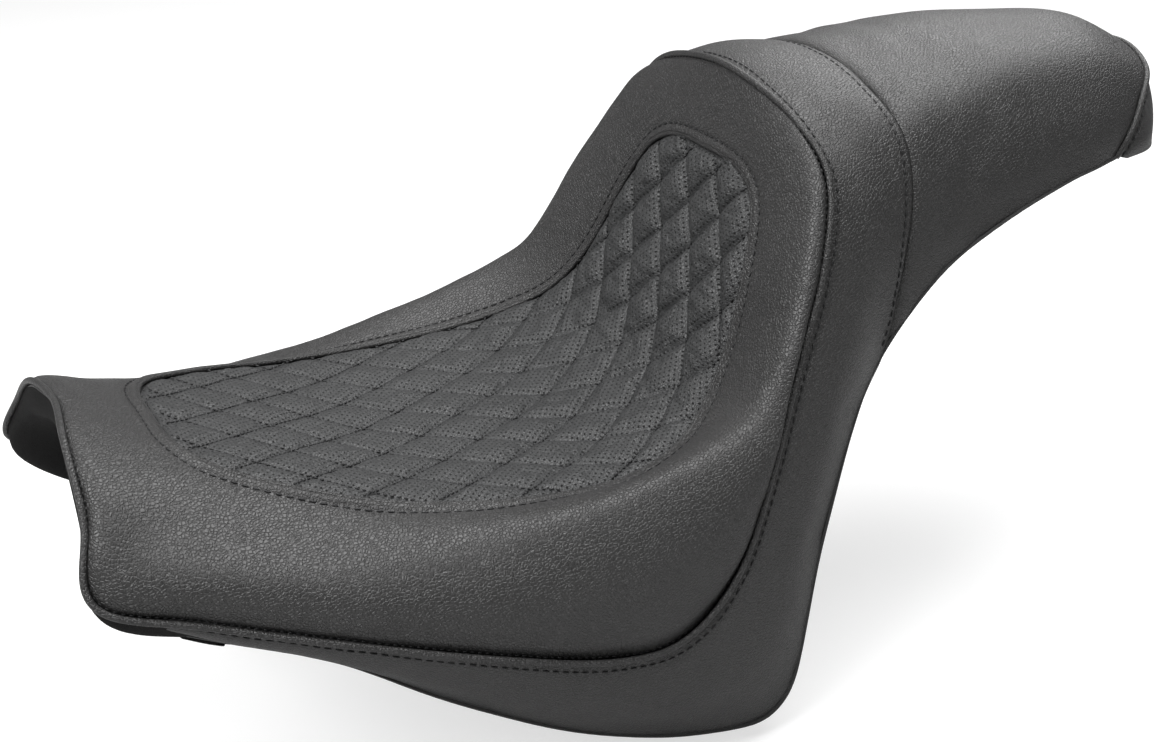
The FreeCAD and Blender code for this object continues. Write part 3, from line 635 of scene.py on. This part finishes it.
class SEAT_OT_side_band(bpy.types.Operator):
    """Makes the plain band over the step and down both skirts, and the strip under the nose"""
    bl_idname = "seat.side_band"
    bl_label = "Side Band"

    def execute(self, context):
        sizes = context.scene.seat_sizes
        grid = patch(band_rows(), sizes.cover_step, measure=1)
        normals = surface_normals(grid, (len(grid) // 2, 20), 0)
        inside = lengths(grid)
        outside = inside[-1][None] - inside
        height = -0.0020 * sink(inside, 0.0035) - 0.0007 * dip(inside - BAND_SEAM, GROOVE)
        on_step = np.clip((grid[:, :, 2] + 0.08) / 0.04, 0, 1)
        height -= on_step * (0.0022 * sink(outside, 0.0035)
                             + 0.0008 * dip(outside - STEP_SEAM, GROOVE))
        height += 0.0010 * ripples(grid, 18.0, 12.0) + 0.0005 * ripples(grid, 48.0, 15.0)
        raised = lifted(grid, normals, height)
        piece = grid_piece("band_cover", raised, sewn_map(grid, inside), normals)
        finish_piece(thicken(piece, sizes.cover_thick), vinyl_material(context), "vinyl_cover",
                     "side_band")
        rows = [row_at(raised, normals, inside, BAND_SEAM)]
        line, ups = row_at(raised, normals, outside, STEP_SEAM)
        high = line[:, 2] > STEP_HIGH
        rows.append((line[high], ups[high]))
        topstitch(context, "band_topstitch", rows)
        self.nose_strip(context)
        return {"FINISHED"}

    def nose_strip(self, context):
        """Lines the arch under the nose."""
        sizes = context.scene.seat_sizes
        halves = [PIPING_LINE[:NOSE_CORNER + 2][::-1], *NOSE_LINING]
        grid = patch([joined(placed(half)) for half in halves], sizes.cover_step)
        normals = surface_normals(grid, (2, grid.shape[1] // 2), 1, sign=-1)
        piece = grid_piece("nose_strip", grid - normals * STRIP_INSET, grid[:, :, ::2], normals)
        # The lining's darker colour is painted shade for the arch under the nose, which lies in
        # shadow.
        finish_piece(thicken(piece, sizes.cover_thick), lining_painted_shade_material(context), "vinyl_cover",
                     "nose_fascia")


class SEAT_OT_pillion(bpy.types.Operator):
    """Makes the passenger's cover and the end panel behind the tail seam"""
    bl_idname = "seat.pillion"
    bl_label = "Passenger's Cover"

    def execute(self, context):
        sizes = context.scene.seat_sizes
        ribs = [joined(placed(rib)) for rib in PILLION_RIBS]
        grid = patch(ribs, sizes.cover_step, measure=2)
        normals = surface_normals(grid, (len(grid) // 2, grid.shape[1] // 2), 2)
        inside = lengths(grid)
        outside = inside[-1][None] - inside
        height = -0.0024 * sink(inside, 0.0035) - 0.0020 * sink(outside, 0.004)
        shoulder = dip(inside - 0.045, 0.05)
        folds = ripples(grid, np.array([16.0, 46.0, 30.0]), 21.0)
        height += 0.0018 * shoulder * folds + 0.0008 * ripples(grid, 20.0, 25.0)
        piece = grid_piece("pillion_cushion_cover", lifted(grid, normals, height),
                           sewn_map(grid, inside), normals)
        finish_piece(thicken(piece, sizes.cover_thick), vinyl_material(context), "vinyl_cover",
                     "pillion_cover", "pillion_foam")
        self.end_panel(context)
        return {"FINISHED"}

    def end_panel(self, context):
        """Closes the tail behind its seam."""
        sizes = context.scene.seat_sizes
        ribs = [joined(placed(rib)) for rib in TAIL_RIBS]
        grid = patch(ribs, sizes.cover_step / 2, measure=1)
        normals = surface_normals(grid, (len(grid) // 2, grid.shape[1] // 2), 1)
        inside = lengths(grid)
        height = -0.0018 * sink(inside, 0.003) - 0.0006 * dip(inside - TAIL_SEAM, 0.0015)
        raised = lifted(grid, normals, height)
        piece = grid_piece("tail_end_panel", raised, grid[:, :, ::2], normals)
        finish_piece(thicken(piece, sizes.cover_thick), vinyl_material(context), "vinyl_cover",
                     "tail_cap")
        topstitch(context, "tail_topstitch", [row_at(raised, normals, inside, TAIL_SEAM)])


class SEAT_OT_welts(bpy.types.Operator):
    """Makes the rolled welts along the seams"""
    bl_idname = "seat.welts"
    bl_label = "Welts"

    def execute(self, context):
        sizes = context.scene.seat_sizes
        jobs = (("main_welt", whole_ring(PIPING_LINE), sizes.welt_radius, True, "main_piping"),
                ("inlay_fold", whole_ring(INLAY_EDGE), sizes.inlay_welt_radius, True,
                 "inlay_welt"),
                ("tail_welt", joined(placed(PILLION_RIBS[-1])), sizes.welt_radius, False,
                 "tail_piping"))
        for name, line, radius, closed, node in jobs:
            places = even_places(line, WELT_STEP, closed)
            points = eased(on_curve(line, places, closed), WELT_STEP, closed)
            if closed:
                points = points[:-1]
            piece = tube_piece(name, points, radius, closed)
            finish_piece(piece, welt_material(context), "piping", node)
        return {"FINISHED"}


# ------------------------------------------------------------------ finishes
def new_group(name, inputs, outputs):
    """An empty shader group with named inputs and outputs."""
    group = bpy.data.node_groups.new(name, "ShaderNodeTree")
    for label, kind, value in inputs:
        socket = group.interface.new_socket(label, in_out="INPUT", socket_type=kind)
        if value is not None:
            socket.default_value = value
    for label, kind in outputs:
        group.interface.new_socket(label, in_out="OUTPUT", socket_type=kind)
    return group, group.nodes.new("NodeGroupInput"), group.nodes.new("NodeGroupOutput")


def math_node(tree, operation, first, second=None, third=None, clamp=False):
    """A Math node fed with numbers or sockets, as its output."""
    node = tree.nodes.new("ShaderNodeMath")
    node.operation = operation
    node.use_clamp = clamp
    for socket, value in zip(node.inputs, (first, second, third)):
        if value is None:
            continue
        if isinstance(value, (int, float)):
            socket.default_value = value
        else:
            tree.links.new(value, socket)
    return node.outputs[0]


def noise_node(tree, place, scale, detail):
    """The strength and colour of noise at a place."""
    node = tree.nodes.new("ShaderNodeTexNoise")
    node.inputs["Scale"].default_value = scale
    node.inputs["Detail"].default_value = detail
    tree.links.new(place, node.inputs["Vector"])
    return node.outputs["Fac"], node.outputs["Color"]


def grain_group():
    """Pebbled vinyl grain with broad changes of sheen and colour."""
    if "Vinyl Grain" in bpy.data.node_groups:
        return bpy.data.node_groups["Vinyl Grain"]
    group, take, give = new_group(
        "Vinyl Grain",
        (("Place", "NodeSocketVector", None), ("Scale", "NodeSocketFloat", 900.0),
         ("Colour", "NodeSocketColor", (0.04, 0.04, 0.04, 1.0)),
         ("Roughness", "NodeSocketFloat", 0.45)),
        (("Colour", "NodeSocketColor"), ("Roughness", "NodeSocketFloat"),
         ("Height", "NodeSocketFloat")))
    link = group.links.new
    _, warp = noise_node(group, take.outputs["Place"], 260.0, 2.0)
    shifted = group.nodes.new("ShaderNodeVectorMath")
    shifted.operation = "MULTIPLY_ADD"
    shifted.inputs[1].default_value = (0.0014, 0.0014, 0.0014)
    link(warp, shifted.inputs[0])
    link(take.outputs["Place"], shifted.inputs[2])
    cells = group.nodes.new("ShaderNodeTexVoronoi")
    cells.feature = "DISTANCE_TO_EDGE"
    link(shifted.outputs[0], cells.inputs["Vector"])
    link(take.outputs["Scale"], cells.inputs["Scale"])
    ridge = group.nodes.new("ShaderNodeMapRange")
    ridge.interpolation_type = "SMOOTHSTEP"
    ridge.inputs["From Max"].default_value = 0.22
    link(cells.outputs["Distance"], ridge.inputs["Value"])
    broad, _ = noise_node(group, take.outputs["Place"], 14.0, 4.0)
    dust, _ = noise_node(group, take.outputs["Place"], 420.0, 3.0)
    shade = math_node(group, "MULTIPLY_ADD", broad, 0.35, 0.72)
    shade = math_node(group, "MULTIPLY_ADD", ridge.outputs["Result"], 0.22, shade)
    tint = group.nodes.new("ShaderNodeVectorMath")
    tint.operation = "SCALE"
    link(take.outputs["Colour"], tint.inputs[0])
    link(shade, tint.inputs["Scale"])
    link(tint.outputs[0], give.inputs["Colour"])
    rough = math_node(group, "MULTIPLY_ADD", ridge.outputs["Result"], -0.08,
                      take.outputs["Roughness"])
    rough = math_node(group, "MULTIPLY_ADD", broad, 0.10, rough)
    rough = math_node(group, "MULTIPLY_ADD", dust, 0.05, rough, clamp=True)
    link(rough, give.inputs["Roughness"])
    height = math_node(group, "MULTIPLY_ADD", dust, 0.25, ridge.outputs["Result"])
    link(height, give.inputs["Height"])
    return group


def new_material(name):
    """A material with its node tree and its one shader."""
    material = bpy.data.materials.new(name)
    material.use_nodes = True
    tree = material.node_tree
    return material, tree, tree.nodes["Principled BSDF"]


def grained(tree, shader, colour, roughness, scale, depth):
    """Feeds a shader from the grain group, and returns the group, bump and place nodes."""
    place = tree.nodes.new("ShaderNodeTexCoord")
    grain = tree.nodes.new("ShaderNodeGroup")
    grain.node_tree = grain_group()
    tree.links.new(place.outputs["Object"], grain.inputs["Place"])
    grain.inputs["Scale"].default_value = scale
    grain.inputs["Colour"].default_value = (*colour, 1.0)
    grain.inputs["Roughness"].default_value = roughness
    bump = tree.nodes.new("ShaderNodeBump")
    bump.inputs["Strength"].default_value = depth
    bump.inputs["Distance"].default_value = 0.0004
    tree.links.new(grain.outputs["Colour"], shader.inputs["Base Color"])
    tree.links.new(grain.outputs["Roughness"], shader.inputs["Roughness"])
    tree.links.new(grain.outputs["Height"], bump.inputs["Height"])
    tree.links.new(bump.outputs["Normal"], shader.inputs["Normal"])
    return grain, bump, place


def vinyl_material(context, name="Plain vinyl", share=1.0, roughness=0.40, scale=480.0,
                   depth=0.9, gloss=0.5):
    """Grained vinyl in a share of the plain covers' colour, made once for each name."""
    if name in bpy.data.materials:
        return bpy.data.materials[name]
    material, tree, shader = new_material(name)
    colour = [c * share for c in context.scene.seat_colours.vinyl]
    grained(tree, shader, colour, roughness, scale, depth)
    shader.inputs["Specular IOR Level"].default_value = gloss
    return material


def lining_painted_shade_material(context):
    """The dull black vinyl under the nose, at 0.3 of the covers' colour: this darkening is
    painted shade for the arch, which lies in shadow.
    """
    return vinyl_material(context, "Lining vinyl", 0.3, 0.8, 700.0, 0.5, 0.12)


def welt_material(context):
    return vinyl_material(context, "Welt vinyl", 0.85)


HOLE_CELL = (0.0044, 0.0054)
HOLE_RADIUS, HOLE_RIM = 0.00046, 0.00080


def quilting_material(context):
    """Perforated vinyl: staggered holes on the piece's own map, over the grain."""
    material, tree, shader = new_material("Perforated vinyl")
    grain, bump, place = grained(tree, shader, context.scene.seat_colours.quilting, 0.46,
                                 560.0, 0.7)
    holes = None
    for offset in (0.0, 0.5):
        apart = tree.nodes.new("ShaderNodeSeparateXYZ")
        tree.links.new(place.outputs["UV"], apart.inputs[0])
        square = []
        for axis, length in zip("XY", HOLE_CELL):
            cell = math_node(tree, "MULTIPLY_ADD", apart.outputs[axis], 1 / length, offset)
            cell = math_node(tree, "FRACT", cell)
            cell = math_node(tree, "SUBTRACT", cell, 0.5)
            cell = math_node(tree, "MULTIPLY", cell, length)
            square.append(math_node(tree, "MULTIPLY", cell, cell))
        distance = math_node(tree, "SQRT", math_node(tree, "ADD", *square))
        holes = distance if holes is None else math_node(tree, "MINIMUM", holes, distance)
    open_hole = tree.nodes.new("ShaderNodeMapRange")
    open_hole.interpolation_type = "SMOOTHSTEP"
    open_hole.inputs["From Min"].default_value = HOLE_RADIUS
    open_hole.inputs["From Max"].default_value = HOLE_RIM
    tree.links.new(holes, open_hole.inputs["Value"])
    dark = tree.nodes.new("ShaderNodeVectorMath")
    dark.operation = "SCALE"
    tree.links.new(grain.outputs["Colour"], dark.inputs[0])
    tree.links.new(math_node(tree, "MULTIPLY_ADD", open_hole.outputs["Result"], 0.94, 0.06),
                   dark.inputs["Scale"])
    tree.links.new(dark.outputs[0], shader.inputs["Base Color"])
    dull = math_node(tree, "SUBTRACT", 1.0, open_hole.outputs["Result"])
    tree.links.new(math_node(tree, "MULTIPLY_ADD", dull, 0.5, grain.outputs["Roughness"],
                             clamp=True), shader.inputs["Roughness"])
    deep = math_node(tree, "MULTIPLY_ADD", open_hole.outputs["Result"], 2.0,
                     grain.outputs["Height"])
    tree.links.new(deep, bump.inputs["Height"])
    shader.inputs["Specular IOR Level"].default_value = 0.5
    return material


def thread_material(context):
    """Black thread with the twist of its strands, made once."""
    name = "Bonded thread"
    if name in bpy.data.materials:
        return bpy.data.materials[name]
    material, tree, shader = new_material(name)
    place = tree.nodes.new("ShaderNodeTexCoord")
    twist = tree.nodes.new("ShaderNodeTexWave")
    twist.bands_direction = "DIAGONAL"
    twist.inputs["Scale"].default_value = 700.0
    twist.inputs["Distortion"].default_value = 1.5
    tree.links.new(place.outputs["Object"], twist.inputs["Vector"])
    ramp = tree.nodes.new("ShaderNodeMix")
    ramp.data_type = "RGBA"
    thread = context.scene.seat_colours.thread
    ramp.inputs["A"].default_value = (*[c * 0.6 for c in thread], 1.0)
    ramp.inputs["B"].default_value = (*[c * 1.8 for c in thread], 1.0)
    tree.links.new(twist.outputs["Fac"], ramp.inputs["Factor"])
    tree.links.new(ramp.outputs["Result"], shader.inputs["Base Color"])
    bump = tree.nodes.new("ShaderNodeBump")
    bump.inputs["Strength"].default_value = 0.4
    bump.inputs["Distance"].default_value = 0.0003
    tree.links.new(twist.outputs["Fac"], bump.inputs["Height"])
    tree.links.new(bump.outputs["Normal"], shader.inputs["Normal"])
    shader.inputs["Roughness"].default_value = 0.55
    return material


def mottled_material(name, light, dark, scale, roughness, metal=0.0, depth=0.3,
                     distance=0.0002):
    """A finish with fine mottling, for moulded, plated, rubber and felt pieces."""
    material, tree, shader = new_material(name)
    place = tree.nodes.new("ShaderNodeTexCoord")
    fine, _ = noise_node(tree, place.outputs["Object"], scale, 5.0)
    broad, _ = noise_node(tree, place.outputs["Object"], scale / 28, 3.0)
    both = math_node(tree, "MULTIPLY_ADD", fine, 0.6, math_node(tree, "MULTIPLY", broad, 0.4))
    mix = tree.nodes.new("ShaderNodeMix")
    mix.data_type = "RGBA"
    mix.inputs["A"].default_value = (*dark, 1.0)
    mix.inputs["B"].default_value = (*light, 1.0)
    tree.links.new(both, mix.inputs["Factor"])
    tree.links.new(mix.outputs["Result"], shader.inputs["Base Color"])
    tree.links.new(math_node(tree, "MULTIPLY_ADD", both, 0.25, roughness - 0.12, clamp=True),
                   shader.inputs["Roughness"])
    bump = tree.nodes.new("ShaderNodeBump")
    bump.inputs["Strength"].default_value = depth
    bump.inputs["Distance"].default_value = distance
    tree.links.new(fine, bump.inputs["Height"])
    tree.links.new(bump.outputs["Normal"], shader.inputs["Normal"])
    shader.inputs["Metallic"].default_value = metal
    return material


class SEAT_OT_hardware(bpy.types.Operator):
    """Gives the pan, liner, trims, brackets and fixings their finishes"""
    bl_idname = "seat.hardware"
    bl_label = "Pan and Hardware"

    def execute(self, context):
        pan = mottled_material("Moulded plastic", (0.045, 0.045, 0.047), (0.018, 0.018, 0.019),
                               900.0, 0.55, depth=0.5)
        felt = mottled_material("Felt", (0.07, 0.07, 0.072), (0.012, 0.012, 0.012), 1400.0,
                                0.95, depth=0.9, distance=0.0006)
        rubber = mottled_material("Rubber", (0.035, 0.035, 0.035), (0.015, 0.015, 0.015),
                                  600.0, 0.7, depth=0.3)
        coated = mottled_material("Coated steel", (0.05, 0.05, 0.052), (0.02, 0.02, 0.021),
                                  350.0, 0.4, metal=0.2, depth=0.25)
        zinc = mottled_material("Zinc plate", (0.62, 0.62, 0.60), (0.40, 0.40, 0.39), 500.0,
                                0.38, metal=1.0, depth=0.15)
        finishes = {
            "seat_pan": pan, "underside_liner": felt, "left_edge_trim": rubber,
            "right_edge_trim": rubber, "rubber_bumpers": rubber, "front_tongue": coated,
            "rear_mount_tab": coated, "tongue_rivets": zinc, "rear_tab_rivets": zinc,
            "bumper_screws": zinc, "cover_staples": zinc}
        for node, material in finishes.items():
            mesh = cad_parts[node].data
            mesh.materials.clear()
            mesh.materials.append(material)
        return {"FINISHED"}


# ------------------------------------------------------------------ studio
FLOOR_DROP = 0.012
LENS_PLACE = (0.97209, -0.90127, 0.38531)
LENS_TURN, LENS_TILT = math.radians(62.955), math.radians(24.886)
LENS_LENGTH = 55.91
# Brightness that the camera sees in the backdrop, that the seat gets from it, and that the
# camera sees added to the floor.
BACKDROP, FILL, FLOOR_GLOW = 1.0, 0.14, 0.6
FLOOR_SIZE = 12.0
# Each light's name, place, target, width, length and power.
LIGHTS = (("overhead", (0.0, -0.2, 1.6), (0, -0.3, 0), 1.5, 1.9, 53.0),
          ("front", (0.35, -2.0, 1.35), (0, -0.3, -0.05), 1.6, 1.0, 50.0),
          ("left_edge", (1.9, 0.1, 0.9), (0, -0.3, -0.05), 0.8, 0.8, 2.5),
          ("rear_rim", (-1.1, 1.1, 1.0), (0, -0.1, 0), 1.2, 0.8, 14.0))


class SEAT_OT_stage(bpy.types.Operator):
    """Sets up the studio: floor, soft lights and camera"""
    bl_idname = "seat.stage"
    bl_label = "Studio"

    def execute(self, context):
        self.floor(context)
        for light in LIGHTS:
            self.light(*light)
        self.world(context)
        context.scene.view_settings.view_transform = "Standard"
        self.camera(context)
        return {"FINISHED"}

    def world(self, context):
        """A white backdrop that lights the seat only gently."""
        world = bpy.data.worlds.new("studio")
        world.use_nodes = True
        tree = world.node_tree
        background = tree.nodes["Background"]
        background.inputs["Color"].default_value = (1, 1, 1, 1)
        path = tree.nodes.new("ShaderNodeLightPath")
        seen = math_node(tree, "MULTIPLY_ADD", path.outputs["Is Camera Ray"],
                         BACKDROP - FILL, FILL)
        tree.links.new(seen, background.inputs["Strength"])
        context.scene.world = world

    def floor(self, context):
        """A pale matt floor that throws little light up under the seat."""
        bm = bmesh.new()
        bmesh.ops.create_grid(bm, x_segments=1, y_segments=1, size=FLOOR_SIZE)
        for vert in bm.verts:
            vert.co.z = CAD_BOX[0][2] - FLOOR_DROP
        mesh = bpy.data.meshes.new("floor")
        bm.to_mesh(mesh)
        bm.free()
        material, tree, shader = new_material("Studio floor")
        shader.inputs["Base Color"].default_value = (*context.scene.seat_colours.floor, 1.0)
        shader.inputs["Roughness"].default_value = 1.0
        shader.inputs["Specular IOR Level"].default_value = 0.0
        shader.inputs["Emission Color"].default_value = (1, 1, 1, 1)
        path = tree.nodes.new("ShaderNodeLightPath")
        seen = math_node(tree, "MULTIPLY", path.outputs["Is Camera Ray"], FLOOR_GLOW)
        tree.links.new(seen, shader.inputs["Emission Strength"])
        mesh.materials.append(material)
        new_object("floor", mesh)

    def light(self, name, place, target, wide, long, power):
        """A soft rectangular light aimed at a target."""
        lamp = bpy.data.lights.new(name, "AREA")
        lamp.shape = "RECTANGLE"
        lamp.size, lamp.size_y, lamp.energy = wide, long, power
        holder = new_object(name, lamp)
        holder.location = place
        aim = Vector(target) - Vector(place)
        holder.rotation_euler = aim.to_track_quat("-Z", "Y").to_euler()

    def camera(self, context):
        """A camera turned about the upright axis and tilted down."""
        data = bpy.data.cameras.new("studio_camera")
        data.sensor_width = 36.0
        data.lens = LENS_LENGTH
        data.clip_end = 60.0
        holder = new_object("studio_camera", data)
        a, e = LENS_TURN, LENS_TILT
        right = Vector((math.cos(a), math.sin(a), 0))
        up = Vector((-math.sin(a) * math.sin(e), math.cos(a) * math.sin(e), math.cos(e)))
        back = Vector((math.sin(a) * math.cos(e), -math.cos(a) * math.cos(e), math.sin(e)))
        turn = Matrix((right, up, back)).transposed().to_4x4()
        holder.matrix_world = Matrix.Translation(LENS_PLACE) @ turn
        context.scene.camera = holder


class SEAT_PT_panel(bpy.types.Panel):
    """Lists the seat's sizes, colours and pieces"""
    bl_idname = "SEAT_PT_panel"
    bl_label = "Seat Upholstery"
    bl_space_type = "VIEW_3D"
    bl_region_type = "UI"
    bl_category = "Seat"

    def draw(self, context):
        for group in (context.scene.seat_sizes, context.scene.seat_colours):
            for name in group.bl_rna.properties.keys():
                if name not in ("rna_type", "name"):
                    self.layout.prop(group, name)
        for operator in OPERATORS:
            self.layout.operator(operator.bl_idname)


OPERATORS = (SEAT_OT_quilting, SEAT_OT_rider_cover, SEAT_OT_side_band, SEAT_OT_pillion,
             SEAT_OT_welts, SEAT_OT_hardware, SEAT_OT_stage)
CLASSES = (SeatSizes, SeatColours, *OPERATORS, SEAT_PT_panel)


def register():
    for item in CLASSES:
        bpy.utils.register_class(item)
    bpy.types.Scene.seat_sizes = PointerProperty(type=SeatSizes)
    bpy.types.Scene.seat_colours = PointerProperty(type=SeatColours)


def unregister():
    del bpy.types.Scene.seat_colours
    del bpy.types.Scene.seat_sizes
    for item in reversed(CLASSES):
        bpy.utils.unregister_class(item)


def main():
    register()
    for operator in OPERATORS:
        family, name = operator.bl_idname.split(".")
        getattr(getattr(bpy.ops, family), name)()


if __name__ == "__main__":
    main()
